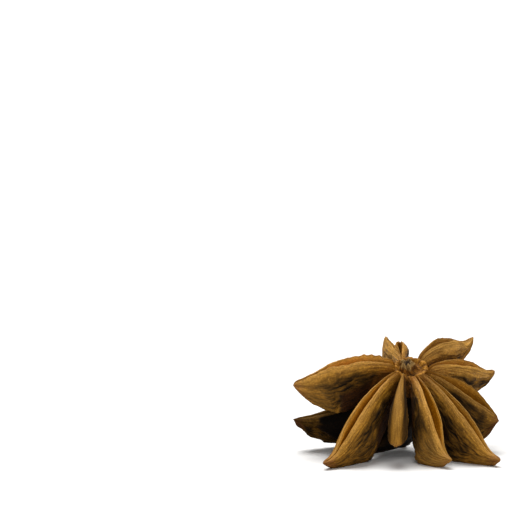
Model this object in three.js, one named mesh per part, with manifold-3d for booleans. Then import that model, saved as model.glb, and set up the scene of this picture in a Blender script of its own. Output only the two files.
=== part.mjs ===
// Star anise: the dried fruit of a small evergreen, a star of boat-shaped carpels that have grown
// together round a short centre. Most carpels have split along the upper seam. The star leans over
// and stands on the bellies of its front carpels and on its own stalk.
// Millimetres, +Z up. The origin is under the middle of the fruit, on the surface it stands on.
import * as THREE from 'three';
import { mergeVertices } from 'three/addons/utils/BufferGeometryUtils.js';
import Module from 'manifold-3d';

const wasm = await Module();
wasm.setup();

// The star as a whole.
const hubTop = new THREE.Vector3(2.85, -1.36, 16.1); // middle of the hub's rim
const starLean = 25; // degrees the star's axis leans towards -Y
const groundSize = 60; // of the block that flattens whatever would reach below the ground

// How finely the solids are cut.
const ringSides = 18; // round a carpel's wall, outside and inside
const stations = 20; // along a carpel
const rimSides = 30; // round the hub
const tubeSides = { stalk: 9, bellies: 16 };
const tubeSteps = { stalk: 7, bellies: 6 };

// What most carpels share. Lengths are in millimetres and angles in degrees.
const usualCarpel = {
  gap: 1.4, // widest opening between the two lips
  arch: 20, // slope that the bowed seam adds at the hub
  early: 1, // above 1, the bow is spent nearer the hub
  hook: 40, // turn of the beak
  beakFrom: 0.78, // share of the length where the beak starts
  fullAt: 0.27, // share of the length, from the tip, where the belly has its whole depth
  taper: 1, // above 1, the beak is drawn out
  plumb: 0.2, // how far the belly hangs along the star's axis, not square to the seam
  roll: 0, // the whole carpel turned about its seam
  twist: 0, // and the further turn it has at the tip
  side: 0, // the seam's start, sideways from the carpel's heading
  sway: 0, // sideways bend of the tip
  root: 3, // the seam's start, out from the star's axis
  drop: 0, // and below the hub's rim
  tipWidth: 0.16, // share of the width left at the tip
  tipDepth: 0.06, // share of the depth left at the tip
  rootWidth: 0.42, // share of the width left at the hub
  narrowFrom: 0.45, // share of the length, from the tip, where it starts to narrow to the hub
  inset: 1.1, // how far the inner end reaches on into the hub's rim
  nose: 0.1, // share of the length that the tip's rounding takes
  shut: false, // where the seam never opened
  lipLift: [], // raised stretches of lip: side, share of the length, spread and height
};

// One entry for each carpel, counter-clockwise from the left. The bearing is the heading from the
// hub, 0 along +X, and the slope is the mean slope of the seam, both in the plane of the star.
const carpels = [
  { bearing: 190, slope: -7.5, length: 19.55, depth: 10.4, width: 5.2, gap: 1.6,
    arch: 23, early: 1.5, hook: 11, roll: 2, side: -0.8, sway: -4, plumb: 0,
    lipLift: [[-1, 0.22, 0.2, 0.8], [-1, 0.62, 0.1, 0.5], [1, 0.5, 0.2, 0.4]] },
  { bearing: 191, slope: -13, length: 20.6, depth: 7.6, width: 4.2, gap: 0.5,
    arch: -4, hook: 14, fullAt: 0.4, side: -1.5, root: 1.3, drop: 5.7 },
  { bearing: 236, slope: -25.5, length: 25, depth: 10.7, width: 4.4, gap: 1.2,
    arch: 41, hook: 78, fullAt: 0.5, taper: 1.4, roll: -8, side: -1.2, sway: -11, plumb: 0.55 },
  { bearing: 261.5, slope: -22, length: 18.7, depth: 6.6, width: 3.3,
    arch: 45, hook: -60, roll: -4, side: -1.3, sway: 4, tipWidth: 0.8, tipDepth: 0.6,
    rootWidth: 0.2, narrowFrom: 0.3, nose: 0.15, shut: true },
  { bearing: 286.5, slope: -30, length: 19.5, depth: 7.2, width: 4.2,
    arch: 33, early: 1.4, hook: 70, fullAt: 0.27, taper: 1.4, twist: 30, side: -0.9, sway: 17,
    plumb: 0.45 },
  { bearing: 309, slope: -29, length: 22, depth: 9.8, width: 4.2, gap: 1.1,
    arch: 32, early: 0.9, hook: 67, fullAt: 0.5, taper: 1.4, roll: 14, side: -0.2, sway: 8,
    plumb: 0.55 },
  { bearing: 358, slope: -36, length: 16.3, depth: 9.2, width: 4.4, gap: 2.2,
    arch: 15, early: 0.7, hook: 0, fullAt: 0.2, side: -1.8, sway: -16, plumb: 0.6,
    lipLift: [[1, 0.5, 0.3, 0.5]] },
  { bearing: 28, slope: -27, length: 16.3, depth: 8.4, width: 3.8,
    arch: 21, early: 1.4, hook: 39, fullAt: 0.45, taper: 1.3, side: -1.7, sway: 14 },
  { bearing: 50, slope: -17, length: 16, depth: 8.2, width: 4, gap: 2.2,
    arch: 22, early: 1.6, hook: 66, fullAt: 0.5, taper: 1.3, roll: 12, side: 0.6, sway: -14,
    lipLift: [[1, 0.4, 0.3, 0.15]] },
  { bearing: 88.5, slope: -23.5, length: 15, depth: 5.6, width: 2.6, gap: 1.4,
    arch: 12, hook: 0, fullAt: 0.25, side: 1.6, tipWidth: 0.5, nose: 0.2 },
  { bearing: 98.4, slope: -20, length: 14.5, depth: 6.2, width: 2.4, gap: 0.3,
    arch: 4, hook: 20, roll: -10, side: 1.4 },
];

// The hub, in the star's own frame: radius and height of its outline from the underside, over the
// scalloped rim and down into the dish, then up the columella and into its pit.
const hubOutline = [
  [0, -8.8], [1.3, -8.4], [2.2, -7.2], [3.1, -5.6], [3.6, -4.2], [3.6, -3], [3.4, -1.8],
  [3.1, -1.1], [2.7, -0.95], [2.4, -1.1], [2.2, -1.3], [1.9, -1.4], [1.6, -1.2], [1.35, -0.7], [1.15, -0.15],
  [0.8, 0.1], [0.35, -0.05], [0, -0.35],
];
// Between two heights the hub turns into an oval, shorter front to back, whose rim stands higher
// at the back.
const hubOval = { squash: 0.8, rise: 0.55, tilt: 0.25, from: -3.6, to: -1.6 };
const hubShift = -0.3; // the rim's middle, sideways from the star's axis
const columellaEdge = { inner: 1.2, outer: 2 }; // inside it stands the columella, off centre
const columellaShift = -0.6;
const rim = { radius: 2.6, reach: 1, from: -2, to: -1, dip: 0.22 }; // it dips between two carpels

// The stalk, from inside the hub down to the ground.
const stalkTop = new THREE.Vector3(0, 0, -6); // in the star's own frame
const stalkBend = new THREE.Vector3(-0.6, -0.8, -12);
const stalkFoot = new THREE.Vector3(1.1, 5.7, -0.2);
const stalkRadius = { top: 1.5, waist: 0.85, foot: 1.15 };

// The fused bellies under the hub, as level ovals from the bottom up: the middle, then half the
// length and half the breadth.
const belliesBearing = 231;
const belliesOvals = [
  [-0.8, -2.4, 1.1, 4.4, 0.4], [-0.7, -2.2, 1.3, 5, 1.1], [-0.4, -1.8, 2.2, 5.1, 1.8],
  [0.7, -0.8, 4.5, 4.6, 2.4], [1.9, 0.2, 7.5, 3.8, 2.8], [2.6, 0.6, 10.5, 3.2, 2.8],
];

// How a carpel's form changes along it, at shares of its length counted back from the tip.
const belly = { shallowFrom: 0.36, rootDepth: 0.58, fade: 1.6 };
const widestAt = 0.45;
const mouth = { from: 0.08, to: 0.4, closeFrom: 0.5, closeTo: 0.95, rootOpen: 0.3, slit: 0.12 };
const hollow = { depth: 0.62, rootDepth: 0.42, least: 0.25, fullFromGap: 0.5, widest: 0.6 };
const insetRounding = 1.6; // the inner end is rounded over this many times its inset
const leastRound = 0.0004; // square of the smallest size that a rounded end keeps

// The outer wall's outline, keel first, as shares of the half width and of the depth, and the
// lining's, lip first, as shares of the half opening and of the hollow's depth.
const wallOutline = [[0, 1], [0.42, 0.93], [0.8, 0.7], [1, 0.4], [0.9, 0.14]];
const lipCrest = 0.22; // of the lip's thickness, out from the opening
const lipInside = 0.035; // share of the depth where the lip has turned into the lining
const liningOutline = [[0.85, 0.3], [0.5, 0.75], [0, 1]];
// A shut seam's outline from the wall to the middle, as shares of the half width and the depth.
const shutOutline = [[0.72, 0.03], [0.54, -0.02], [0.36, -0.05], [0.18, -0.07], [0, -0.08]];

// Dents and swellings of the dried walls, as shares of the carpel's half width and depth.
const wrinkleSize = 0.06;
const wrinkleWaves = { along: 21, slow: 13 }; // radians over a carpel's length
const wrinkleShifts = { carpel: 2.4, side: 1.7, along: 1.1, slow: 2.3, from: 0.05 };

const radians = THREE.MathUtils.degToRad;
const unit = (x) => THREE.MathUtils.clamp(x, 0, 1);
const ease = (x) => unit(x) ** 2 * (3 - 2 * unit(x));
const ramp = (x, from, to) => ease((x - from) / (to - from));
const quarterSine = (x) => Math.sin((Math.PI / 2) * unit(x));

// From the star's own frame, Z along its axis, to where the fruit stands.
function place(point) {
  return point.applyAxisAngle(new THREE.Vector3(1, 0, 0), radians(starLean)).add(hubTop);
}

// The carpel's seam in its own frame, X along its heading: a point, the way up out of the
// opening and the way across it, for each station from the hub to the tip.
function seamOf(carpel) {
  const points = [];
  const total = carpel.length + carpel.inset;
  const rise = radians(carpel.slope + carpel.arch * carpel.early);
  const at = new THREE.Vector3(carpel.root, carpel.side, -carpel.drop);
  at.addScaledVector(new THREE.Vector3(Math.cos(rise), 0, Math.sin(rise)), -carpel.inset);
  let before = null;
  for (let i = 0; i <= stations; i++) {
    const run = (total * i) / stations;
    const s = Math.max((run - carpel.inset) / carpel.length, 0);
    const bow = carpel.arch * ((1 + carpel.early) * (1 - s) ** carpel.early - 1);
    const beak = carpel.hook * ease((s - carpel.beakFrom) / (1 - carpel.beakFrom));
    const slope = radians(carpel.slope + bow + beak);
    const turn = radians(carpel.sway * s * s);
    const along = new THREE.Vector3(
      Math.cos(turn) * Math.cos(slope), Math.sin(turn) * Math.cos(slope), Math.sin(slope));
    const square = new THREE.Vector3(
      -Math.sin(slope) * Math.cos(turn), -Math.sin(slope) * Math.sin(turn), Math.cos(slope));
    const across = square.clone().cross(along);
    if (before) {
      at.addScaledVector(before.add(along), total / stations / 2);
    }
    before = along;
    const up = square.lerp(new THREE.Vector3(0, 0, 1), carpel.plumb).normalize();
    const roll = radians(carpel.roll + carpel.twist * s);
    points.push({
      s,
      run,
      at: at.clone(),
      up: up.clone().multiplyScalar(Math.cos(roll)).addScaledVector(across, Math.sin(roll)),
      across: across.clone().multiplyScalar(Math.cos(roll)).addScaledVector(up, -Math.sin(roll)),
    });
  }
  return points;
}

// One side of the carpel's section at a station, from the keel up the outer wall, over the lip
// and down the lining to the middle of the hollow: [across, down] pairs.
function halfSection(carpel, { s, run }, side) {
  const back = 1 - s;
  const swell = quarterSine(back / carpel.fullAt) ** carpel.taper;
  const full = carpel.tipDepth + (1 - carpel.tipDepth) * swell;
  const shallow = unit((back - belly.shallowFrom) / (1 - belly.shallowFrom)) ** belly.fade;
  const depth = carpel.depth * full * (1 - (1 - belly.rootDepth) * shallow);
  const broad = carpel.tipWidth + (1 - carpel.tipWidth) * quarterSine(back / widestAt);
  const narrow = 1 - (1 - carpel.rootWidth) * ramp(back, carpel.narrowFrom, 1);
  const half = (carpel.width / 2) * broad * narrow;
  const split = ramp(back, mouth.from, mouth.to);
  const closing = ramp(back, mouth.closeFrom, mouth.closeTo);
  const gap = carpel.gap * split * (1 - (1 - mouth.rootOpen) * closing);
  const inner = Math.min(Math.max(mouth.slit, gap) / 2, half * hollow.widest);
  const share = hollow.depth * split * (1 - (1 - hollow.rootDepth) * closing);
  const open = Math.min(1, carpel.gap / hollow.fullFromGap);
  const floor = Math.max(hollow.least, depth * share * open);
  const lift = carpel.lipLift.filter(([which]) => which === side).reduce(
    (sum, [, centre, spread, height]) => sum + height * Math.exp(-(((s - centre) / spread) ** 2)),
    0);
  const wall = wallOutline.map(([x, q]) => [x * half, q * depth]);
  const section = carpel.shut
    ? [...wall, ...shutOutline.map(([x, q]) => [x * half, q * depth])]
    : [
      ...wall,
      [inner + (half - inner) * lipCrest, -lift],
      [inner, lipInside * depth - lift],
      ...liningOutline.map(([x, q]) => [x * inner, q * floor]),
    ];
  const pastTip = unit((carpel.nose - back) / carpel.nose);
  const pastRoot = unit(1 - run / (insetRounding * carpel.inset));
  const round = Math.sqrt(Math.max(leastRound, 1 - Math.max(pastTip, pastRoot) ** 2));
  return section.map(([x, q]) => [x * round, depth / 2 + (q - depth / 2) * round]);
}

// The dried wall's uneven swelling, for side -1 or 1 and step 0 (keel) to 5 (lip).
function wrinkle(number, s, side, step) {
  if (step >= wallOutline.length || s < wrinkleShifts.from) {
    return 0;
  }
  const phase = wrinkleShifts.carpel * number + wrinkleShifts.side * side;
  const lengthways = Math.sin(wrinkleWaves.along * s + phase + wrinkleShifts.along * step);
  const crossways = Math.cos(wrinkleWaves.slow * s - 2 * phase + wrinkleShifts.slow * step);
  return wrinkleSize * lengthways * crossways;
}

// A closed cylinder whose rings are moved on to the carpel's sections, root first.
function carpelSolid(given, number) {
  const carpel = { ...usualCarpel, ...given };
  const seam = seamOf(carpel);
  const half = ringSides / 2;
  const geometry = merged(new THREE.CylinderGeometry(1, 1, 1, ringSides, stations));
  const position = geometry.getAttribute('position');
  for (let i = 0; i < position.count; i++) {
    const [x, y, z] = [position.getX(i), position.getY(i), position.getZ(i)];
    const station = seam[Math.round((0.5 - y) * stations)];
    const turn = Math.round((Math.atan2(-x, z) / (2 * Math.PI)) * ringSides + ringSides) % ringSides;
    const side = turn <= half ? 1 : -1;
    const section = halfSection(carpel, station, side);
    let across = 0;
    let down = section[0][1] * 0.5;
    if (Math.hypot(x, z) > 0.5) {
      const step = side > 0 ? turn : ringSides - turn;
      const swell = 1 + wrinkle(number, station.s, step === 0 ? 0 : side, step);
      across = side * section[step][0] * swell;
      down = section[step][1] * swell;
    }
    const point = station.at.clone().addScaledVector(station.across, across);
    point.addScaledVector(station.up, -down);
    place(point.applyAxisAngle(new THREE.Vector3(0, 0, 1), radians(carpel.bearing)));
    position.setXYZ(i, point.x, point.y, point.z);
  }
  return solid(geometry);
}

// The hub: its outline spun about the star's axis, the rim dipping between the carpels.
function hubSolid() {
  const outline = hubOutline.map(([r, z]) => new THREE.Vector2(r, z));
  const lathe = new THREE.LatheGeometry(outline, rimSides);
  lathe.rotateX(Math.PI / 2);
  const geometry = merged(lathe);
  const position = geometry.getAttribute('position');
  for (let i = 0; i < position.count; i++) {
    const point = new THREE.Vector3().fromBufferAttribute(position, i);
    const radius = Math.hypot(point.x, point.y);
    const height = point.z;
    const angle = Math.atan2(point.y, point.x);
    const above = ramp(height, rim.from, rim.to);
    const onRim = ease(1 - Math.abs(radius - rim.radius) / rim.reach) * above;
    point.z -= rim.dip * onRim * (1 - Math.cos(carpels.length * angle));
    const onColumella = ramp(-radius, -columellaEdge.outer, -columellaEdge.inner) * above;
    point.x += hubShift + columellaShift * onColumella;
    const high = ramp(height, hubOval.from, hubOval.to);
    point.y *= 1 - (1 - hubOval.squash) * high;
    point.z += (hubOval.rise + hubOval.tilt * point.y) * high;
    place(point);
    position.setXYZ(i, point.x, point.y, point.z);
  }
  return solid(geometry);
}

// A closed tube whose rings are moved on to the ovals of ovalAt: for a share of its run, the
// middle and the two half axes.
function tubeSolid(ovalAt, sides, steps) {
  const geometry = merged(new THREE.CylinderGeometry(1, 1, 1, sides, steps));
  const position = geometry.getAttribute('position');
  for (let i = 0; i < position.count; i++) {
    const { middle, longAxis, shortAxis } = ovalAt(0.5 - position.getY(i));
    const point = middle.clone().addScaledVector(longAxis, position.getX(i));
    point.addScaledVector(shortAxis, position.getZ(i));
    position.setXYZ(i, point.x, point.y, point.z);
  }
  return solid(geometry);
}

// The stalk, bent down from the underside of the hub to the ground.
function stalkSolid() {
  const line = new THREE.QuadraticBezierCurve3(
    place(stalkTop.clone()), place(stalkBend.clone()), stalkFoot);
  const radii = new THREE.SplineCurve([
    new THREE.Vector2(0, stalkRadius.top), new THREE.Vector2(0.5, stalkRadius.waist),
    new THREE.Vector2(1, stalkRadius.foot),
  ]);
  return tubeSolid((share) => {
    const radius = radii.getPoint(share).y;
    const along = line.getTangent(share);
    const sideways = new THREE.Vector3(1, 0, 0).cross(along).normalize();
    return {
      middle: line.getPoint(share),
      longAxis: sideways.clone().cross(along).multiplyScalar(radius),
      shortAxis: sideways.multiplyScalar(radius),
    };
  }, tubeSides.stalk, tubeSteps.stalk);
}

// The fused bellies, from just above the ground up into the hub.
function belliesSolid() {
  const line = new THREE.CatmullRomCurve3(
    belliesOvals.map(([x, y, z]) => new THREE.Vector3(x, y, z)), false, 'catmullrom', 0.5);
  const halves = new THREE.SplineCurve(
    belliesOvals.map(([, , , long, short]) => new THREE.Vector2(long, short)));
  const ahead = new THREE.Vector3(1, 0, 0)
    .applyAxisAngle(new THREE.Vector3(0, 0, 1), radians(belliesBearing));
  return tubeSolid((share) => {
    const { x, y } = halves.getPoint(1 - share);
    return {
      middle: line.getPoint(1 - share),
      longAxis: ahead.clone().multiplyScalar(x),
      shortAxis: new THREE.Vector3(ahead.y, -ahead.x, 0).multiplyScalar(y),
    };
  }, tubeSides.bellies, tubeSteps.bellies);
}

function merged(geometry) {
  geometry.deleteAttribute('normal');
  geometry.deleteAttribute('uv');
  return mergeVertices(geometry);
}

function solid(geometry) {
  return new wasm.Manifold(new wasm.Mesh({
    numProp: 3,
    vertProperties: new Float32Array(geometry.getAttribute('position').array),
    triVerts: new Uint32Array(geometry.getIndex().array),
  }));
}

// The triangles of the fruit's skin alone, without the tiny closed pockets where roots meet.
function skinOf(triangles, count) {
  const parent = Array.from({ length: count }, (_, i) => i);
  const rootOf = (i) => {
    while (parent[i] !== i) {
      i = parent[i];
    }
    return i;
  };
  for (let t = 0; t < triangles.length; t += 3) {
    const [a, b, c] = [rootOf(triangles[t]), rootOf(triangles[t + 1]), rootOf(triangles[t + 2])];
    const least = Math.min(a, b, c);
    parent[a] = least;
    parent[b] = least;
    parent[c] = least;
  }
  const sizes = new Map();
  triangles.forEach((i) => sizes.set(rootOf(i), (sizes.get(rootOf(i)) ?? 0) + 1));
  const [skin] = [...sizes].sort((one, other) => other[1] - one[1])[0];
  return triangles.filter((i) => rootOf(i) === skin);
}

// One fruit is one piece, so the carpels, hub, bellies and stalk are joined.
let fruit = hubSolid().add(stalkSolid()).add(belliesSolid());
carpels.forEach((carpel, number) => {
  fruit = fruit.add(carpelSolid(carpel, number));
});
// The bellies and the stalk are flat where they stand.
const ground = new THREE.BoxGeometry(groundSize, groundSize, groundSize);
ground.translate(0, 0, -groundSize / 2);
const joined = fruit.subtract(solid(merged(ground))).getMesh();
const fruitGeometry = new THREE.BufferGeometry();
fruitGeometry.setAttribute('position', new THREE.BufferAttribute(joined.vertProperties, 3));
const skin = skinOf(joined.triVerts, joined.vertProperties.length / 3);
fruitGeometry.setIndex(new THREE.BufferAttribute(skin, 1));

const husk = new THREE.MeshStandardMaterial({ color: '#8a5f2e', roughness: 0.72, metalness: 0 });
const pod = new THREE.Mesh(fruitGeometry, husk);
pod.name = 'star_anise_pod';

const starAnise = new THREE.Group();
starAnise.add(pod);
export default starAnise;
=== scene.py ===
import math

import bmesh
import bpy
from mathutils import Matrix, Vector, noise


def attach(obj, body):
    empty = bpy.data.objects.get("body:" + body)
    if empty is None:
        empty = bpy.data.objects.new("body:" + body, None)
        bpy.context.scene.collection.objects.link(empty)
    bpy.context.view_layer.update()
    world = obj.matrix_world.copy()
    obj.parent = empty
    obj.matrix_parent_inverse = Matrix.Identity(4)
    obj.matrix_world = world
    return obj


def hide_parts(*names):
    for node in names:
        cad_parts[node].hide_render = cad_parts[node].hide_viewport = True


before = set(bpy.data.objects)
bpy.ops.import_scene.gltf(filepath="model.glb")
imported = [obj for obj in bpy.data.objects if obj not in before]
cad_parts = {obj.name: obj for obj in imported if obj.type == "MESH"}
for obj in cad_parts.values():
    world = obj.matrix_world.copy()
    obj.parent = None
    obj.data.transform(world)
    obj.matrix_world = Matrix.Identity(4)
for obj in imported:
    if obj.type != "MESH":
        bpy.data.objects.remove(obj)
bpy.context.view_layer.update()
print("frame loaded")

mm = 0.001
weld = 0.001  # points nearer than this are merged, in millimetres
podNode = "star_anise_pod"

# The star as a whole, in millimetres and degrees.
star = {
    "hubTop": Vector((2.85, -1.36, 16.1)),  # middle of the hub's rim
    "lean": 25,  # towards the front
}

# What most carpels share. Lengths are in millimetres and angles in degrees, and shares of
# the length count from the hub unless a note says from the tip.
usualCarpel = {
    "gap": 1.4,  # widest opening between the lips
    "arch": 20,  # slope that the bowed seam adds at the hub and loses by the tip
    "early": 1,  # above 1, the bow is spent nearer the hub
    "hook": 40,  # turn of the beak
    "beakFrom": 0.78,  # share of the length where it starts
    "fullAt": 0.27,  # share of the length, from the tip, where the belly is full
    "taper": 1,  # above 1, the belly starts more gently at the tip
    "plumb": 0.2,  # how far the belly hangs along the star's axis
    "roll": 0,  # turn of the whole carpel about its seam
    "twist": 0,  # and how much that grows towards the tip
    "side": 0,  # the seam's start, sideways
    "sway": 0,  # sideways bend of the tip
    "root": 3,  # the seam's start, out from the axis
    "drop": 0,  # and below the rim
    "tipWidth": 0.16,  # shares of the width and depth left at the tip
    "tipDepth": 0.06,
    "rootWidth": 0.42,  # share of the width left at the hub
    "narrowFrom": 0.45,  # share of the length, from the tip, where that narrowing starts
    "inset": 1.1,  # how far the inner end reaches on into the hub's rim
    "shut": 0,  # 1 where the seam never opened
    "rough": 1,  # height of the wrinkles, as a share of the usual
    "lipRough": 0.1,  # millimetres, of the opening's edge
    "tone": 0,  # above 0 paler and greyer, below 0 darker, which on the carpels that lie in shadow is painted shade
    "topTone": 0, "tipTone": 0, "facetTone": 0,  # the same on the shoulders, tip or facet alone
    "pale": 0,  # how much of the wall is weathered tan
    "nose": 0.07,  # share of the length that the tip's rounding takes
    "lipLift": [],  # side, share of the length, spread, height of a raised stretch of lip
    "warts": [],  # share of the length, place round the wall, radius, height
    "facetTo": 0.55,  # share of the length that the pressed stretch of the wall reaches
    "facetSlant": 0, "facetTop": 2.9,  # how its end leans, and its upper edge
    "facetRim": 1,  # how far its rim stands up
    "band": 0,  # above 0, the smooth shoulder is narrower
    "mouthFrom": 0.08, "mouthTo": 0.4,  # shares of the length, from the tip, where the seam opens
    "mouthShift": 0,  # the opening, sideways
    "paleLip": 0,  # how much further into the opening the lip's pale colour and painted highlight go
}

# Counter-clockwise from the left. The bearing is the heading, 0 along +X.
carpels = {
    "carpel_left": dict(
        bearing=190, slope=-7.5, length=19.55, depth=10.4, width=5.2, arch=23,
        early=1.5, hook=11, roll=2, side=-0.8, sway=-4, plumb=0, lipRough=0.16, gap=1.6,
        tipDepth=0.13, nose=0.04, mouthFrom=0.26, mouthTo=0.55, band=0.15, pale=0.08,
        tipTone=0.3, paleLip=0.9,
        lipLift=[(-1, 0.22, 0.2, 0.8), (-1, 0.62, 0.05, 0.3), (1, 0.5, 0.2, 0.4)],
        warts=[(0.6, -5.3, 0.35, 0.4), (0.97, 4.2, 0.6, 0.22)], facetTo=0.72),
    "carpel_low_left": dict(
        bearing=191, slope=-13, length=20.6, depth=7.6, width=4.2, gap=0.5,
        arch=-4, hook=14, fullAt=0.4, side=-1.5, root=1.3, drop=5.7, rough=1.7,
        # painted shade: this carpel lies in shadow under carpel_left, so its tones, shoulders and
        # facet are darkened
        tone=-0.45, topTone=-0.3, pale=-0.3,
        facetTo=0.6, facetSlant=0.13, facetTop=4.6, facetTone=-0.5, facetRim=3,
        warts=[(0.86, 2, 0.5, 0.2), (0.82, 3, 0.5, 0.25)]),
    "carpel_front_left": dict(
        bearing=236, slope=-25.5, length=25, depth=10.7, width=4.4, gap=1.2,
        arch=41, hook=78, fullAt=0.5, taper=1.4, roll=-8, side=-1.2, sway=-11, plumb=0.55,
        pale=0.2),
    "carpel_front": dict(
        bearing=261.5, slope=-22, length=18.7, depth=6.6, width=3.3, gap=0.1,
        arch=45, hook=-60, roll=-4, side=-1.3, sway=4, tipWidth=0.88, tipDepth=0.6, nose=0.11,
        rootWidth=0.2, narrowFrom=0.3, shut=1, rough=0.9,
        # painted shade: tone darkens the sides round the paler top, as shade on the rounded face
        tone=-0.25, topTone=0.75, tipTone=-0.4, band=0.3,
        warts=[(0.93, 8.4, 0.8, 0.2), (0.93, -8.4, 0.8, 0.2), (0.84, 5, 0.5, -0.22),
               (0.84, -5, 0.5, -0.22)]),
    "carpel_front_middle": dict(
        bearing=286.5, slope=-30, length=19.5, depth=7.2, width=4.2,
        arch=33, early=1.4, hook=70, fullAt=0.27, taper=1.4, twist=30, side=-0.9, sway=17,
        plumb=0.45, pale=0.1, band=0.4, mouthShift=0.35, tipTone=0.62,
        paleLip=-0.4),
    "carpel_front_right": dict(
        bearing=309, slope=-29, length=22, depth=9.8, width=4.2, gap=1.1,
        arch=32, early=0.9, hook=67, fullAt=0.5, taper=1.4, roll=14, side=-0.2, sway=8,
        # painted shade: tone darkens this carpel, whose walls lie in its neighbours' shadow
        plumb=0.55, tone=-0.25, tipTone=0.42, pale=0.1, tipDepth=0.1, nose=0.05,
        warts=[(0.3, -4.9, 0.3, 0.12), (0.41, -5, 0.3, 0.12), (0.52, -4.9, 0.3, 0.12)]),
    "carpel_right": dict(
        bearing=358, slope=-36, length=16.3, depth=9.2, width=4.4, gap=2.2,
        arch=15, early=0.7, hook=0, fullAt=0.2, side=-1.8, sway=-16, plumb=0.6,
        tone=-0.35, band=0.35, lipLift=[(1, 0.5, 0.3, 0.5)]),
    "carpel_right_middle": dict(
        bearing=28, slope=-27, length=16.3, depth=8.4, width=3.8,
        arch=21, early=1.4, hook=39, fullAt=0.45, taper=1.3, side=-1.7, sway=14, pale=0.1,
        topTone=0.4, band=-0.35, gap=1.7,
        tipDepth=0.1, nose=0.05, lipLift=[(-1, 0.42, 0.3, -0.35)]),
    "carpel_back_right": dict(
        bearing=50, slope=-17, length=16, depth=8.2, width=4, gap=2.2,
        arch=22, early=1.6, hook=66, fullAt=0.5, taper=1.3, roll=12, side=0.6, sway=-14,
        pale=0.5, topTone=0.8, band=-0.45, lipLift=[(1, 0.4, 0.3, 0.15)]),
    "carpel_back": dict(
        bearing=88.5, slope=-23.5, length=15, depth=5.6, width=2.6, gap=0.9,
        arch=12, hook=0, fullAt=0.25, side=1.6, tipWidth=0.5, nose=0.2, tone=0.2,
        mouthShift=0.3),
    "carpel_back_left": dict(
        bearing=98.4, slope=-20, length=14.5, depth=6.2, width=2.4, gap=0.3,
        arch=4, hook=20, roll=-10, side=1.4, tone=0.7),
}


def unit(x):
    return min(max(x, 0.0), 1.0)


# From 0 at low to 1 at high, straight and then eased.
def rise(x, low, high):
    return unit((x - low) / (high - low))


def ramp(x, low, high):
    t = rise(x, low, high)
    return t * t * (3 - 2 * t)


def between(first, second, share):
    return first + (second - first) * share


def quarterSine(x):
    return math.sin(math.pi / 2 * unit(x))


# Smooth noise, the same on each run. Far seeds give unlike noises.
def rough(x, y, seed):
    return noise.noise(Vector((x, y, 7.3 * seed + 0.37)))


# Waves of noise along a line, each with a length, a height and a number of its own.
def waver(x, waves, seed):
    return sum(height * rough(x / length, number, seed) for length, height, number in waves)


# A point of a smooth curve through the points, i counted in points.
def along(points, i, closed=True):
    step = int(math.floor(i))
    t = i - step
    last = len(points)
    if closed:
        a, b, c, d = (points[(step + j) % last] for j in (-1, 0, 1, 2))
    else:
        a, b, c, d = (points[min(max(step + j, 0), last - 1)] for j in (-1, 0, 1, 2))
    return (b * 2 + (c - a) * t + (a * 2 - b * 5 + c * 4 - d) * (t * t)
            + (b * 3 - a - c * 3 + d) * (t * t * t)) * 0.5


# From the star's own frame, its axis upright and its rim at 0, to its place on the floor.
def standing(point):
    turned = Matrix.Rotation(math.radians(star["lean"]), 3, "X") @ point
    return turned + star["hubTop"]


print("settings ready")

# How a carpel's form changes along it, at shares of its length back from the tip.
form = {
    "bellyShallowFrom": 0.36, "bellyRoot": 0.58, "bellyFade": 1.6,  # the belly, towards the hub
    "widestAt": 0.45,
    "closing": (0.5, 0.95),  # where the opening narrows towards the hub
    "rootOpen": 0.3,  # share of the opening left there
    "slit": 0.12, "slitMost": 0.6,  # least opening in millimetres, and most as a share of the width
    "gapWaves": [(3, 0.3, 1)],
    "hollow": 0.62, "rootHollow": 0.42,  # the hollow's depth as a share of the carpel's
    "leastHollow": 0.25,  # millimetres
    "slitHollow": 2,  # that share for each millimetre of a narrow opening
    # keel to shoulder, as shares of the half width and of the depth
    "wall": [(0, 1), (0.42, 0.93), (0.8, 0.7), (1, 0.4), (0.9, 0.14)],
    "lipCrest": 0.22, "lipInside": 0.035,
    "lipWaves": [(1.6, 1, 3), (0.6, 0.5, 5)], "liftWaves": [(0.9, 0.5, 8)],
    # lip to the hollow's floor, as shares of the half opening and of its depth
    "lining": [(0.85, 0.3), (0.5, 0.75), (0, 1)],
    # shoulder to the middle of the top where the seam is shut
    "shutTop": [(0.72, 0.03), (0.54, -0.02), (0.36, -0.05), (0.18, -0.07), (0, -0.08)],
    "wallStep": 0.24,  # of the depth, the way round the wall from one outline point to the next
    "rootNose": 1.6, "leastNose": 0.02,  # rounding of the inner end, of its reach, and its least size
    "stations": 180,
    "divisions": [9, 18, 18, 18, 15, 9, 8, 5, 4],  # between two outline points, keel first
}


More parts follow.
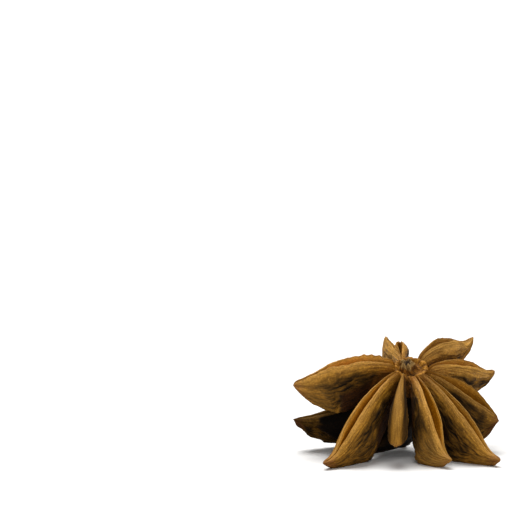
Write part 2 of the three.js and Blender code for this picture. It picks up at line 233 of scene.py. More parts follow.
# The seam: for each station its place, the way up out of the opening and the way across.
def seamOf(carpel):
    count = form["stations"]
    total = carpel["length"] + carpel["inset"]
    at = Vector((carpel["root"], carpel["side"], -carpel["drop"]))
    first = math.radians(carpel["slope"] + carpel["arch"] * carpel["early"])
    at -= Vector((math.cos(first), 0, math.sin(first))) * carpel["inset"]
    before = None
    seam = []
    for i in range(count + 1):
        u = total * i / count - carpel["inset"]
        s = max(u / carpel["length"], 0.0)
        bow = carpel["arch"] * ((1 + carpel["early"]) * (1 - s) ** carpel["early"] - 1)
        slope = math.radians(carpel["slope"] + bow
                             + carpel["hook"] * ramp(s, carpel["beakFrom"], 1))
        turn = math.radians(carpel["sway"] * s * s)
        ahead = Vector((math.cos(turn) * math.cos(slope), math.sin(turn) * math.cos(slope),
                        math.sin(slope)))
        square = Vector((-math.sin(slope) * math.cos(turn), -math.sin(slope) * math.sin(turn),
                         math.cos(slope)))
        across = square.cross(ahead)
        if before is not None:
            at = at + (before + ahead) * (total / count / 2)
        before = ahead
        up = square.lerp(Vector((0, 0, 1)), carpel["plumb"]).normalized()
        roll = math.radians(carpel["roll"] + carpel["twist"] * s)
        seam.append((s, u, at, up * math.cos(roll) + across * math.sin(roll),
                     across * math.cos(roll) - up * math.sin(roll)))
    return seam


# One side of the section: keel, wall, shoulder, lip, lining and the hollow's floor.
def sectionSide(carpel, s, u, side):
    back = 1 - s
    seed = carpel["seed"] + 0.5 * side
    swell = quarterSine(back / carpel["fullAt"]) ** carpel["taper"]
    shallow = rise(back, form["bellyShallowFrom"], 1) ** form["bellyFade"]
    depth = carpel["depth"] * between(carpel["tipDepth"], 1, swell)
    depth *= between(1, form["bellyRoot"], shallow)
    half = carpel["width"] / 2
    half *= between(carpel["tipWidth"], 1, quarterSine(back / form["widestAt"]))
    half *= between(1, carpel["rootWidth"], ramp(back, carpel["narrowFrom"], 1))
    split = ramp(back, carpel["mouthFrom"], carpel["mouthTo"])
    closing = ramp(back, *form["closing"])
    gap = carpel["gap"] * split * between(1, form["rootOpen"], closing)
    gap *= 1 + waver(u, form["gapWaves"], seed)
    inner = min(max(form["slit"], gap) / 2, half * form["slitMost"])
    share = form["hollow"] * split * between(1, form["rootHollow"], closing)
    share *= min(1, form["slitHollow"] * carpel["gap"])
    floor = max(form["leastHollow"], depth * share)
    points = [(x * half, q * depth) for x, q in form["wall"]]
    lift = carpel["lipRough"] * waver(u, form["lipWaves"], seed)
    for which, centre, spread, high in carpel["lipLift"]:
        if which == side:
            bump = math.exp(-((s - centre) / spread) ** 2)
            lift += high * bump * (1 + waver(u, form["liftWaves"], seed))
    points.append((inner + (half - inner) * form["lipCrest"], -lift))
    points.append((inner, form["lipInside"] * depth - lift))
    points += [(x * inner, q * floor) for x, q in form["lining"]]
    top = len(form["wall"])
    if carpel["shut"]:
        points[top:] = [(x * half, q * depth) for x, q in form["shutTop"]]
    points[top:] = [(x + side * carpel["mouthShift"] * split, q) for x, q in points[top:]]
    past = max(unit((carpel["nose"] - back) / carpel["nose"]),
               unit(1 - (u + carpel["inset"]) / (form["rootNose"] * carpel["inset"])))
    rounding = math.sqrt(max(form["leastNose"] ** 2, 1 - past * past))
    return [Vector((side * x * rounding, depth / 2 + (q - depth / 2) * rounding))
            for x, q in points]


# Places round the section: outline position, keel 0 to the hollow's floor 9, and side.
def ringPlaces():
    half = []
    for step, count in enumerate(form["divisions"]):
        half += [step + i / count for i in range(count)]
    floorAt = len(form["divisions"])
    places = [(a, 1) for a in half] + [(floorAt, 1)]
    return places + [(a, -1) for a in reversed(half[1:])]


# Relief of the dried wall in millimetres, u along the seam, w round the wall, both in
# millimetres, and k the place round the wall, keel 0, shoulder 4, lip 6.
wrinkles = {
    # length along the seam, spacing round the wall, height, and a number for the noise
    "long": (2.8, 0.34, 0.13, 23),
    "short": (1.1, 0.34, 0.09, 29),
    "dents": (2.4, 1.6, 0.12, 31),
    "grain": (0.45, 0.3, 0.04, 37),
    "keel": (0.75, 2.0, 0.26, 41),
    "shoulder": (3.0, 0.4, 0.04, 43),
    "strayAlong": (3.0, 3.0, 0.9, 11),  # how the folds wander
    "strayAround": (2.2, 1.6, 0.5, 17),
    "sharpness": 3.2,  # of the long folds' crests
    "foldReach": 0.14,  # from a fold's middle height to its floor and its top
    "wallEnd": (3.5, 4.4), "shoulderEnd": (6, 6.5), "keelEnd": (0.4, 1.7),  # as k
    "smoothTip": 0.06,  # share of the length
    "wartSpan": 1.6,  # millimetres round the wall for each step of k
}

# Where a neighbour grew against the wall and pressed it flat, near the hub: places as
# shares of the length and as k, heights in millimetres.
facets = {
    "height": -0.14, "rimHeight": 0.12,
    "endWaves": [(1.4, 0.06, 2), (0.5, 0.04, 4)],
    "bow": 1 / 30, "bowAt": 1.7,  # the end is furthest from the hub at this k
    "slope": 0.07, "fromHub": 0.08, "topSlope": 0.3,  # how gently its end, start and top fade
    "rimAt": 0.01, "rimWidth": 0.016,
    "rimShown": 0.2, "rimMore": 0.3, "rimWaves": [(0.8, 2.2, 6)],  # how broken the rim is
    "sideSlope": 0.6,  # the same at the keel, where it is on one side alone
    "calm": 0.75, "keelCalm": 0.5,  # how far it smooths the wrinkles
    "rimLight": 0.4,  # how far the rim takes the fold tops' paler colour and painted highlight
}


def facetOf(carpel, k, s, side, seed):
    edge = carpel["facetTo"] + carpel["facetSlant"] * (k - 1) + waver(k, facets["endWaves"], seed)
    edge -= facets["bow"] * (k - facets["bowAt"]) ** 2
    inside = (1 - ramp(s, edge - facets["slope"], edge)) * ramp(s, 0, facets["fromHub"])
    top = carpel["facetTop"]
    below = 1 - ramp(k, top - facets["topSlope"], top + facets["topSlope"])
    if carpel["facetTone"]:
        below *= ramp(k * side, 0, facets["sideSlope"])  # on one side alone
    rim = math.exp(-((s - edge - facets["rimAt"]) / facets["rimWidth"]) ** 2) * carpel["facetRim"]
    shown = facets["rimShown"] + facets["rimMore"] * carpel["facetRim"]
    broken = unit(shown + waver(k, facets["rimWaves"], seed))
    return inside * below, rim * below * broken


# The height that a point is moved out by, the fold's height for the painted crease shade and the fold
# tops' colour, and the facet.
def reliefOf(carpel, s, u, w, k, side):
    seed = carpel["seed"] + 0.5 * side

    def layer(name, x, y):
        length, spacing, height, number = wrinkles[name]
        return height * rough(x / length, y / spacing, seed + number)

    strayU = u + layer("strayAlong", u, w)
    strayW = w + layer("strayAround", u, w)
    wall = 1 - ramp(k, *wrinkles["wallEnd"])
    shoulder = (1 - wall) * (1 - ramp(k, *wrinkles["shoulderEnd"]))
    keel = 1 - ramp(k, *wrinkles["keelEnd"])
    facet, rim = facetOf(carpel, k, s, side, seed)
    calm = 1 - facets["calm"] * facet
    fold = wrinkles["long"][2] - wrinkles["sharpness"] * abs(layer("long", strayU, strayW))
    fine = fold + layer("short", strayU, strayW) + layer("grain", u, w)
    fine *= wall * calm * carpel["rough"]
    outer = fine + layer("dents", u, w) * wall * calm
    outer += keel * layer("keel", u, w) * carpel["rough"] * (1 - facets["keelCalm"] * facet)
    outer += facets["height"] * facet + facets["rimHeight"] * rim
    outer += shoulder * layer("shoulder", strayU, strayW)
    outer *= ramp(1 - s, 0, wrinkles["smoothTip"])
    for wartS, wartK, radius, high in carpel["warts"]:
        around = (k * side - wartK) * wrinkles["wartSpan"]
        away = math.hypot((s - wartS) * carpel["length"], around)
        outer += high * math.exp(-(away / radius) ** 2)
    return outer, fine + facets["rimLight"] * rim, facet


# What the finish reads at each point: the share of each colour, and the roughness.
huskShares = ("pale", "creaseShade", "ridge", "facet", "shoulder", "lining", "amber", "hollowShade", "lipHighlight",
              "root", "beak", "light", "dark", "roughness")

# Where each colour of a carpel lies: along s, the share of the length from the hub, or round
# the section as k. Waves have lengths in millimetres and a height.
cover = {
    "shoulder": (3.6, 4.3), "shutShoulder": (4.1, 7.2),
    "shoulderWaves": (2.2, 1.5, 0.4), "sidesApart": 13.5,  # so that the sides' waves differ
    "tipNarrower": (0.75, 0.95), "tipNarrowerBy": 0.9,  # the shoulder, towards the tip
    "rootNarrower": (0.1, 0.5), "rootNarrowerBy": 0.4,
    "paleTip": (0.55, 0.95), "paleTipShare": 0.7,
    "paleKeel": (0.4, 1.8), "paleKeelFrom": (0.3, 0.55), "paleKeelShare": 0.5,
    "paleWaves": (2.4, 1.1, 0.5),
    "paleRidge": 0.15,  # least share of the ridges' colour, where the wall isn't pale
    "toneTip": (0.6, 0.95),
    # the lining's colours in to the hollow's floor, the last of them painted shade
    "lining": (5.5, 5.9), "amber": (6, 6.75), "hollowShade": (7.05, 9),
    # painted highlight along the lip's edge, carried on into the far lip's lining
    "farLip": (6.6, 7.6), "farLipShare": 0.8,
    "crestAt": 5.1, "crestWidth": 0.5, "crestFrom": 0.1,
    "root": (0.03, 0.3), "rootWaves": 0.1,
    "beak": (0.88, 0.98), "beakWaves": 0.03,
    "roughness": (0.78, 0.52, 0.42, 0.95),  # wall, waxy shoulder, satin lining, and the parts darkened by tone and painted shade
}


# Painted shade, near black, in the folds' valleys; the fold tops paler, partly weathering and partly
# painted highlight.
def wallShares(pale, fold):
    high = unit(0.5 + fold / (2 * wrinkles["foldReach"]))
    return {"pale": pale, "creaseShade": 1 - high,
            "ridge": high ** 2 * between(cover["paleRidge"], 1, pale)}


# Waves along and round the wall, as cover gives them by name.
def patches(name, u, w, seed):
    length, breadth, height = cover[name]
    return height * rough(u / length, w / breadth, seed)


def shoulderOf(carpel, s, u, w, k, side):
    edge = k - carpel["band"]
    edge += patches("shoulderWaves", u, w + cover["sidesApart"] * side, carpel["seed"])
    edge += cover["tipNarrowerBy"] * ramp(s, *cover["tipNarrower"])
    edge += cover["rootNarrowerBy"] * (1 - ramp(s, *cover["rootNarrower"]))
    return ramp(edge, *cover["shutShoulder" if carpel["shut"] else "shoulder"])


def paleOf(carpel, s, u, w, k):
    tip = cover["paleTipShare"] * ramp(s, *cover["paleTip"])
    keel = cover["paleKeelShare"] * (1 - ramp(k, *cover["paleKeel"]))
    keel *= ramp(s, *cover["paleKeelFrom"])
    return unit(tip + keel + carpel["pale"] + patches("paleWaves", u, w, carpel["seed"] + 3))


def sharesOf(carpel, s, u, w, k, side, fold, facet):
    opened = 1 - carpel["shut"]
    shoulder = shoulderOf(carpel, s, u, w, k, side)
    lining = ramp(k, *cover["lining"]) * opened
    tone = carpel["tone"] + carpel["topTone"] * shoulder + carpel["facetTone"] * facet
    tone += carpel["tipTone"] * ramp(s, *cover["toneTip"])
    farLip = cover["farLipShare"] * unit(carpel["paleLip"]) * (1 - rise(k, *cover["farLip"]))
    lipHighlight = math.exp(-((k - cover["crestAt"]) / cover["crestWidth"]) ** 2) + farLip * lining
    beak = ramp(s + cover["beakWaves"] * rough(u, k, 5), *cover["beak"])
    wallRough, shoulderRough, liningRough, darkRough = cover["roughness"]
    roughness = between(between(wallRough, shoulderRough, shoulder), liningRough, lining)
    return {
        **wallShares(paleOf(carpel, s, u, w, k), fold),
        "facet": facet,
        "shoulder": shoulder,
        "lining": lining,
        "amber": lining * rise(k - carpel["paleLip"], *cover["amber"]),
        "hollowShade": lining * rise(k, *cover["hollowShade"]),
        "lipHighlight": lipHighlight * ramp(s, 0, cover["crestFrom"]) * opened,
        "root": 1 - ramp(s + cover["rootWaves"] * rough(u, k, 15), *cover["root"]),
        "beak": beak,
        "light": unit(tone),
        "dark": unit(-tone),
        "roughness": between(roughness, darkRough, unit(-tone)),
    }


# A carpel: a grid of rows along the seam, each rolled up into a closed section, and then
# moved out by its relief.
def makeCarpel(name, given, number):
    carpel = {**usualCarpel, **given, "seed": 3.1 * number + 1.7}  # no two are alike
    seam = seamOf(carpel)
    places = ringPlaces()
    rows = len(seam) + 2  # a row at each end closes it
    bm = bmesh.new()
    bmesh.ops.create_grid(bm, x_segments=rows - 1, y_segments=len(places), size=0.5)
    layers = {key: bm.verts.layers.float.new(key) for key in huskShares}
    grain = bm.verts.layers.float_vector.new("grain")
    turn = Matrix.Rotation(math.radians(carpel["bearing"]), 3, "Z")
    loops = []
    for s, u, *_ in seam:
        right = sectionSide(carpel, s, u, 1)
        left = sectionSide(carpel, s, u, -1)
        loops.append(right + left[-2:0:-1])
    moved = {}
    for vert in bm.verts:
        row = round((vert.co.x + 0.5) * (rows - 1))
        column = round((vert.co.y + 0.5) * len(places)) % len(places)
        station = min(max(row - 1, 0), len(seam) - 1)
        s, u, at, up, across = seam[station]
        k, side = places[column]
        loop = loops[station]
        x, q = along(loop, k if side > 0 else len(loop) - k)
        if row in (0, rows - 1):
            x, q = 0, loop[0].y / 2  # all in one point
        w = k * carpel["depth"] * form["wallStep"]
        vert.co = standing(turn @ (at + across * x - up * q))
        height, fold, facet = reliefOf(carpel, s, u, w, k, side)
        moved[vert] = height
        for key, share in sharesOf(carpel, s, u, w, k, side, fold, facet).items():
            vert[layers[key]] = share
        vert[grain] = (u, w * side, carpel["seed"])
    bmesh.ops.remove_doubles(bm, verts=bm.verts, dist=weld)
    bmesh.ops.recalc_face_normals(bm, faces=bm.faces)
    bm.normal_update()
    for vert in bm.verts:
        vert.co += vert.normal * moved.get(vert, 0)
        vert.co.z = max(vert.co.z, 0)  # nothing goes under the floor
    return finished(name, bm)


# Turns millimetres to metres and links the piece.
def finished(name, bm):
    bmesh.ops.scale(bm, vec=(mm, mm, mm), verts=bm.verts)
    for face in bm.faces:
        face.smooth = True
    mesh = bpy.data.meshes.new(name)
    bm.to_mesh(mesh)
    bm.free()
    piece = bpy.data.objects.new(name, mesh)
    bpy.context.scene.collection.objects.link(piece)
    return piece


pieces = [makeCarpel(name, given, number) for number, (name, given) in enumerate(carpels.items())]
print("carpels made:", sum(len(piece.data.polygons) for piece in pieces), "faces")

# The hub, in millimetres from the middle of its rim, along and round the star's axis.
hub = {
    # half its section, radius and height, from the underside up round the rim to the tissue
    # in the dish
    "outline": [
        (0, -8.8), (1.3, -8.4), (2.2, -7.2), (3.1, -5.6), (3.6, -4.2), (3.6, -3), (3.4, -1.8),
        (3.1, -1.1), (2.7, -0.95), (2.4, -1.1), (2.2, -1.3), (1.9, -1.4), (1.6, -1.2), (1.35, -0.7),
        (1.15, -0.15), (0.8, 0.1), (0.35, -0.05), (0, -0.35)],
    "squash": 0.8,  # the rim is an oval, shorter front to back
    "rise": 0.55, "tilt": 0.25,  # the rim stands higher at the back
    "shaped": (-3.6, -1.6),  # heights between which the oval, the rise and the tilt come in
    "shift": -0.3,  # of the whole hub, sideways
    "finer": 5, "steps": 160,  # points between two of the outline's, and round the hub
    "rimAt": 2.7, "rimWidth": 1.5, "rimFrom": (-3.4, -1),
    "extraRibs": (32, 90, 152),  # bearings of the rim's lumps that belong to no carpel here
    "ribWidth": 11, "ribHeight": 0.3, "ribMiddle": 0.45,  # width in degrees
    "ribWaves": (30, 0.5),  # how the ribs differ: degrees, share
    "seamWidth": 3.4, "seamDepth": 0.5,  # in each rib's middle
    # the dead tissue in the dish
    "tissue": 1.6, "tissueEdge": (-0.4, 0.4), "tissueFrom": (-2, -1), "tissueShift": -0.6,
    "corners": 5, "cornerHeight": 0.2, "cornerTurn": 20,
    "tissuePale": (-0.75, -0.15), "tissueWaves": (25, 0.6),
    "pit": (0.3, 0.95),  # radii between which the dark middle fades out
    "coarse": (0.7, 0.1), "fine": (0.3, 0.06),  # grain: spacing, height
}


# Where the carpels' inner ends meet the rim, as bearings.
def ribBearings():
    bearings = list(hub["extraRibs"])
    for given in carpels.values():
        carpel = {**usualCarpel, **given}
        if carpel["drop"] == 0:
            offset = math.degrees(math.atan2(carpel["side"], carpel["root"]))
            bearings.append((carpel["bearing"] + offset) % 360)
    return bearings


hubShares = ("rib", "tissue", "pit")


def hubGrain(name, x, y, number):
    spacing, height = hub[name]
    return height * rough(x / spacing, y / spacing, number)


# The hub is its outline spun round, with ribs, corners and grain pushed out of it.
def makeHub():
    outline = [Vector(point) for point in hub["outline"]]
    bm = bmesh.new()
    previous = None
    for i in range((len(outline) - 1) * hub["finer"] + 1):
        r, z = along(outline, i / hub["finer"], closed=False)
        vert = bm.verts.new((max(r, 0), 0, z))
        if previous:
            bm.edges.new((previous, vert))
        previous = vert
    bmesh.ops.spin(bm, geom=list(bm.verts) + list(bm.edges), cent=(0, 0, 0), axis=(0, 0, 1),
                   angle=math.tau, steps=hub["steps"], use_merge=True)
    bmesh.ops.remove_doubles(bm, verts=bm.verts, dist=weld)
    bmesh.ops.recalc_face_normals(bm, faces=bm.faces)
    bm.normal_update()
    layers = {key: bm.verts.layers.float.new(key) for key in hubShares}
    grain = bm.verts.layers.float_vector.new("grain")
    bearings = ribBearings()
    ribSpread, ribShare = hub["ribWaves"]
    tissueSpread, tissueHeight = hub["tissueWaves"]
    moves = []
    for vert in bm.verts:
        x, y, z = vert.co
        radius = math.hypot(x, y)
        bearing = math.degrees(math.atan2(y, x))
        near = min(abs((bearing - b + 180) % 360 - 180) for b in bearings)
        onRim = ramp(1 - abs(radius - hub["rimAt"]) / hub["rimWidth"], 0, 1)
        onRim *= ramp(z, *hub["rimFrom"])
        rib = math.exp(-(near / hub["ribWidth"]) ** 2)
        rib *= 1 + ribShare * rough(bearing / ribSpread, 1, 7)
        rib -= hub["seamDepth"] * math.exp(-(near / hub["seamWidth"]) ** 2)
        lump = hub["ribHeight"] * onRim * (rib - hub["ribMiddle"])
        onTissue = ramp(hub["tissue"] - radius, *hub["tissueEdge"]) * ramp(z, *hub["tissueFrom"])
        corner = math.cos(math.radians(hub["corners"] * bearing + hub["cornerTurn"]))
        lump += hub["cornerHeight"] * corner * onTissue
        lump += hubGrain("coarse", x, y, 3) + hubGrain("fine", x, y, 9 + z)
        torn = z + tissueHeight * rough(bearing / tissueSpread, 2, 11)
        shares = {
            "rib": onRim * rib,
            "tissue": onTissue * ramp(torn, *hub["tissuePale"]),
            "pit": onTissue * (1 - ramp(radius, *hub["pit"])),
        }
        for key, share in shares.items():
            vert[layers[key]] = share
        vert[grain] = (x, y, z)
        co = vert.co + vert.normal * lump
        high = ramp(z, *hub["shaped"])
        co.x += hub["shift"] + hub["tissueShift"] * onTissue
        co.y *= between(1, hub["squash"], high)
        co.z += (hub["rise"] + hub["tilt"] * co.y) * high
        moves.append((vert, standing(co)))
    for vert, co in moves:
        vert.co = co
    return finished("hub", bm)


pieces.append(makeHub())
print("hub made")

# What the bellies and the stalk share.
tubeSkin = {
    "folds": (9, 2.5), "lumps": (5, 2),  # how many, about, along and round
    "foldMiddle": 0.08,
    "number": 51,  # of its noise
    "run": 11,  # millimetres along
    "roughness": 0.8,
}


# A closed tube of ovals round a run of places, for what has no carpel's form. ovalAt gives
# for a share of the run the middle and the two half axes as vectors.
def makeTube(name, ovalAt, tube):
    steps = tube["steps"]
    bm = bmesh.new()
    bmesh.ops.create_grid(bm, x_segments=steps + 2, y_segments=tube["sides"], size=0.5)
    layers = {key: bm.verts.layers.float.new(key) for key in huskShares}
    grain = bm.verts.layers.float_vector.new("grain")
    foldsAlong, foldsRound = tubeSkin["folds"]
    lumpsAlong, lumpsRound = tubeSkin["lumps"]
    for vert in bm.verts:
        row = round((vert.co.x + 0.5) * (steps + 2))
        angle = (vert.co.y + 0.5) * math.tau
        t = min(max(row - 1, 0), steps) / steps
        x, y = math.cos(angle), math.sin(angle)
        middle, longAxis, shortAxis = ovalAt(t)
        crease = rough(foldsAlong * t, foldsRound * x, tubeSkin["number"])
        crease += noise.noise(Vector((lumpsRound * x, lumpsRound * y, lumpsAlong * t)))
        crease *= tube["fold"]
        reach = 0 if row in (0, steps + 2) else 1  # both ends close in a point
        swell = 1 + crease / shortAxis.length
        vert.co = middle + (longAxis * x + shortAxis * y) * (reach * swell)
        shares = {**wallShares(tube["pale"], crease - tubeSkin["foldMiddle"]), "dark": tube["dark"],
                  "roughness": tubeSkin["roughness"]}
        for key, share in shares.items():
            vert[layers[key]] = share
        vert[grain] = (tubeSkin["run"] * t, shortAxis.length * (x + y), tubeSkin["number"])
    bmesh.ops.remove_doubles(bm, verts=bm.verts, dist=weld)
    bmesh.ops.recalc_face_normals(bm, faces=bm.faces)
    for vert in bm.verts:
        vert.co.z = max(vert.co.z, 0)  # nothing goes under the floor
    return finished(name, bm)


# The fused bellies under the hub, painted dark as the shade beneath it.
bellies = {
    "bearing": 231,
    # from the bottom up: the middle as x, y and z, half the length, half the breadth
    "ovals": [
        (-0.8, -2.4, 1.1, 4.4, 0.4), (-0.7, -2.2, 1.3, 5.0, 1.1), (-0.4, -1.8, 2.2, 5.1, 1.8),
        (0.7, -0.8, 4.5, 4.6, 2.4), (1.9, 0.2, 7.5, 3.8, 2.8), (2.6, 0.6, 10.5, 3.2, 2.8)],
    "steps": 60, "sides": 96, "fold": 0.2, "pale": 0, "dark": 0.7,
}


def belliesAt(t):
    rows = [[Vector(oval[:3]) for oval in bellies["ovals"]],
            [Vector((*oval[3:], 0)) for oval in bellies["ovals"]]]
    middle, halves = (along(row, t * (len(row) - 1), closed=False) for row in rows)
    bearing = math.radians(bellies["bearing"])
    ahead = Vector((math.cos(bearing), math.sin(bearing), 0))
    return middle, ahead * halves.x, Vector((-ahead.y, ahead.x, 0)) * halves.y


pieces.append(makeTube("fused_bellies", belliesAt, bellies))
print("fused bellies made")

# The stalk's stub, bent under the hub, that the fruit stands on at the back.
stalk = {
    "top": (0, 0, -6), "bend": (-0.6, -0.8, -12), "foot": Vector((1.1, 5.7, -0.2)),
    "radii": [1.5, 0.85, 1.15], "sides": 48, "steps": 90, "fold": 0.1, "pale": 0.6, "dark": 0,
}


def stalkAt(t):
    start = standing(Vector(stalk["top"]))
    bend = standing(Vector(stalk["bend"]))
    foot = stalk["foot"]
    radius = along([Vector((radius, 0)) for radius in stalk["radii"]], 2 * t, closed=False).x
    ahead = ((bend - start) * (1 - t) + (foot - bend) * t).normalized()
    sideways = Vector((1, 0, 0)).cross(ahead).normalized()
    middle = start * (1 - t) ** 2 + bend * 2 * t * (1 - t) + foot * t ** 2
    return middle, sideways.cross(ahead) * radius, sideways * radius


pieces.append(makeTube("stalk", stalkAt, stalk))
print("stalk made")


# A hex colour as sRGB shows it, turned linear.
def linear(hexColour):
    values = [int(hexColour[i:i + 2], 16) / 255 for i in (1, 3, 5)]
    return (*(v / 12.92 if v <= 0.04045 else ((v + 0.055) / 1.055) ** 2.4 for v in values), 1)


# Adds a node: settings are its own values, inputs its sockets by name or number, and out
# the output that is given back.
def addNode(tree, kind, settings=None, inputs=None, out=0):
    node = tree.nodes.new(kind)
    for key, value in (settings or {}).items():
        setattr(node, key, value)
    for key, value in (inputs or {}).items():
        if isinstance(value, bpy.types.NodeSocket):
            tree.links.new(value, node.inputs[key])
        else:
            node.inputs[key].default_value = value
    return node.outputs[out] if node.outputs else None


# Sun-dried fruit wall: a dull, wrinkled, fibrous outside, smooth waxy shoulders and a hard
# satin lining. The real fibres are under 0.1 mm apart, too fine to show, so they are drawn
# coarser.
husk = {
    "name": "driedHusk",
    "under": "#1d1206",
    # millimetres along and across, detail, roughness, and the values taken as none and all
    "patterns": {
        "fibre": (1.8, 0.22, 3.0, 0.6, 0.35, 0.7),
        "streak": (3.4, 0.42, 4.0, 0.65, 0.36, 0.62),
        "patch": (2.2, 2.2, 4.0, 0.6, 0.35, 0.68),
        "speckle": (0.35, 0.35, 2.0, 0.5, 0.3, 0.7),
        "glint": (0.35, 0.35, 2.0, 0.5, 0.64, 0.74),
    },
    # each over those before it: the share it covers by, or None for all over, its pattern,
    # its colour where the pattern is none and all, and the part of the share it covers there
    "coats": [
        ("pale", "streak", "#6b4716", "#6b4716", 1, 1),
        # painted shade in the folds' valleys
        ("creaseShade", "streak", "#070300", "#070300", 1, 1),
        # the fold tops paler where the wall is weathered, partly painted highlight
        ("ridge", "streak", "#a37123", "#a37123", 1, 1),
        ("facet", "fibre", "#1f0f04", "#4c2a0d", 1, 1),
        ("shoulder", "streak", "#63400d", "#b37e26", 1, 1),
        ("shoulder", "patch", "#5c390a", "#5c390a", 0, 0.35),
        ("lining", "streak", "#d0902c", "#d0902c", 1, 1),
        ("amber", "streak", "#a56809", "#a56809", 1, 1),
        # painted shade on the hollow's floor
        ("hollowShade", "streak", "#3f2201", "#3f2201", 1, 1),
        ("lining", "streak", "#3f2201", "#3f2201", 0.35, 0),
        # painted highlight along the lips
        ("lipHighlight", "streak", "#dba351", "#dba351", 0.3, 0.8),
        ("root", "patch", "#895318", "#895318", 0.2, 0.7),
        # painted glints: sparse pale specks on the shoulders
        ("shoulder", "glint", "#dba351", "#dba351", 0, 0.5),
        ("beak", "streak", "#84502c", "#84502c", 0.6, 0.6),
        ("light", "streak", "#7a5621", "#cb9849", 1, 1),
        # near black where tone is below 0: darker colour, and painted shade on the carpels in shadow
        # and on the fused bellies
        ("dark", "streak", "#070300", "#070300", 1, 1),
    ],
    "mottle": ("speckle", 0.72, 1.2),  # a pattern, and what it darkens and lightens by
    "bump": [("streak", 3.0), ("fibre", 1.0), ("speckle", 1.0)],
    "bumpHeight": 0.05, "bumpStrength": 0.85,  # height in millimetres
    "even": {"IOR": 1.45, "Specular IOR Level": 0.12},  # the same all over
    "varied": {"Roughness": "roughness"},  # by what each point holds
}

# Torn, dried fruit flesh: the rough golden inner ends round the dish, and the pale corky
# dead tissue of its middle.
hubSkin = {
    "name": "driedHub",
    "under": "#2a1606",
    "patterns": {"spots": (0.4, 0.4, 4.0, 0.65, 0.38, 0.66)},
    "coats": [
        (None, "spots", "#8a5613", "#8a5613", 0, 1),
        ("rib", "spots", "#b4761c", "#d3993c", 0.8, 1),
        ("tissue", "spots", "#5a3c12", "#b8955a", 0.9, 1),
        ("pit", "spots", "#1c140e", "#5c4a3a", 1, 1),
    ],
    "mottle": None,
    "bump": [("spots", 1.0)],
    "bumpHeight": 0.065, "bumpStrength": 0.85,
    "even": {"IOR": 1.45, "Specular IOR Level": 0.15, "Roughness": 0.62},
    "varied": {},
}


# Each coat goes over those before it, then the mottle and the bump.
def driedMaterial(finish):
    material = bpy.data.materials.new(finish["name"])
    material.use_nodes = True
    tree = material.node_tree
    tree.nodes.clear()
    grain = addNode(tree, "ShaderNodeAttribute", {"attribute_name": "grain"}, out="Vector")
    names = [coat[0] for coat in finish["coats"] if coat[0]] + list(finish["varied"].values())
    shares = {name: addNode(tree, "ShaderNodeAttribute", {"attribute_name": name}, out="Fac")
              for name in dict.fromkeys(names)}
    noises = {}
    patterns = {}
    for name, (length, breadth, detail, harshness, none, full) in finish["patterns"].items():
        place = addNode(tree, "ShaderNodeMapping", inputs={
            "Vector": grain, "Scale": (1 / length, 1 / breadth, 1)})
        noises[name] = addNode(tree, "ShaderNodeTexNoise", inputs={
            "Vector": place, "Scale": 1.0, "Detail": detail, "Roughness": harshness})
        patterns[name] = addNode(tree, "ShaderNodeMapRange", inputs={
            "Value": noises[name], "From Min": none, "From Max": full})
    colour = linear(finish["under"])
    for share, name, first, second, least, most in finish["coats"]:
        over = addNode(tree, "ShaderNodeMix", {"data_type": "RGBA"}, {
            0: patterns[name], 6: linear(first), 7: linear(second)}, 2)
        part = addNode(tree, "ShaderNodeMapRange", inputs={
            "Value": patterns[name], "To Min": least, "To Max": most})
        if share:
            part = addNode(tree, "ShaderNodeMath", {"operation": "MULTIPLY"}, {
                0: part, 1: shares[share]})
        colour = addNode(tree, "ShaderNodeMix", {"data_type": "RGBA"}, {
            0: part, 6: colour, 7: over}, 2)
    if finish["mottle"]:
        name, least, most = finish["mottle"]
        mottle = addNode(tree, "ShaderNodeMapRange", inputs={
            "Value": patterns[name], "To Min": least, "To Max": most})
        mottle = addNode(tree, "ShaderNodeCombineXYZ", inputs={0: mottle, 1: mottle, 2: mottle})
        colour = addNode(tree, "ShaderNodeMix", {"data_type": "RGBA", "blend_type": "MULTIPLY"}, {
            0: 1.0, 6: colour, 7: mottle}, 2)
    height = 0.0
    for name, weight in finish["bump"]:
        height = addNode(tree, "ShaderNodeMath", {"operation": "MULTIPLY_ADD"}, {
            0: noises[name], 1: weight, 2: height})
    bump = addNode(tree, "ShaderNodeBump", inputs={
        "Strength": finish["bumpStrength"], "Distance": finish["bumpHeight"] * mm,
        "Height": height})
    varied = {socket: shares[name] for socket, name in finish["varied"].items()}
    shader = addNode(tree, "ShaderNodeBsdfPrincipled", inputs={
        "Base Color": colour, "Normal": bump, **finish["even"], **varied})
    addNode(tree, "ShaderNodeOutputMaterial", inputs={"Surface": shader})
    return material


huskMaterial = driedMaterial(husk)
hubMaterial = driedMaterial(hubSkin)
for piece in pieces:
    piece.data.materials.append(hubMaterial if piece.name == "hub" else huskMaterial)
    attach(piece, "root")
    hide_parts(podNode)
print("finishes made")

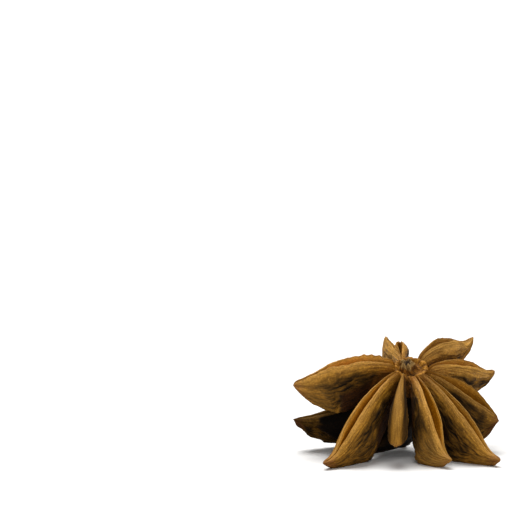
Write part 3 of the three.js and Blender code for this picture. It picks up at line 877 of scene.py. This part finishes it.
# A sheet of matt white paper under one wide lamp from above and behind, and a softer one
# from the front. Sizes and places are in metres, angles in degrees.
studio = {
    "floorSize": 30.0, "floor": "#f7f6f4", "floorRoughness": 0.6,
    "keyAngle": 46, "keyStrength": 3.8, "keyElevation": 74, "keyBearing": 110,
    "fillAngle": 70, "fillStrength": 1.2, "fillElevation": 25, "fillBearing": 288,
    "world": "#ffffff", "worldStrength": 0.16,
    "cameraPlace": (-0.02515, -0.43296, 0.0868), "cameraDown": 6.735, "lens": 171.4,
    "cameraSees": (0.01, 100),
}


def makeFloor():
    bm = bmesh.new()
    bmesh.ops.create_grid(bm, x_segments=1, y_segments=1, size=studio["floorSize"] / 2)
    mesh = bpy.data.meshes.new("floor")
    bm.to_mesh(mesh)
    bm.free()
    floor = bpy.data.objects.new("floor", mesh)
    bpy.context.scene.collection.objects.link(floor)
    material = bpy.data.materials.new("mattPaper")
    material.use_nodes = True
    shader = material.node_tree.nodes["Principled BSDF"]
    shader.inputs["Base Color"].default_value = linear(studio["floor"])
    shader.inputs["Roughness"].default_value = studio["floorRoughness"]
    mesh.materials.append(material)


# A far lamp, turned to shine from its bearing and elevation.
def makeSun(name):
    sun = bpy.data.lights.new(name, "SUN")
    sun.energy = studio[name + "Strength"]
    sun.angle = math.radians(studio[name + "Angle"])
    lamp = bpy.data.objects.new(name, sun)
    bpy.context.scene.collection.objects.link(lamp)
    elevation = math.radians(studio[name + "Elevation"])
    bearing = math.radians(studio[name + "Bearing"])
    towards = Vector((math.cos(bearing) * math.cos(elevation),
                      math.sin(bearing) * math.cos(elevation), math.sin(elevation)))
    lamp.rotation_euler = towards.to_track_quat("Z", "Y").to_euler()


def makeLight():
    makeSun("key")
    makeSun("fill")
    world = bpy.data.worlds.new("studio")
    world.use_nodes = True
    background = world.node_tree.nodes["Background"]
    background.inputs["Color"].default_value = linear(studio["world"])
    background.inputs["Strength"].default_value = studio["worldStrength"]
    bpy.context.scene.world = world


def makeCamera():
    data = bpy.data.cameras.new("camera")
    data.lens = studio["lens"]
    data.clip_start, data.clip_end = studio["cameraSees"]
    camera = bpy.data.objects.new("camera", data)
    camera.location = studio["cameraPlace"]
    camera.rotation_euler = (math.radians(90 - studio["cameraDown"]), 0, 0)
    bpy.context.scene.collection.objects.link(camera)
    bpy.context.scene.camera = camera


makeFloor()
makeLight()
makeCamera()
bpy.context.scene.view_settings.view_transform = "Standard"
print("studio made")
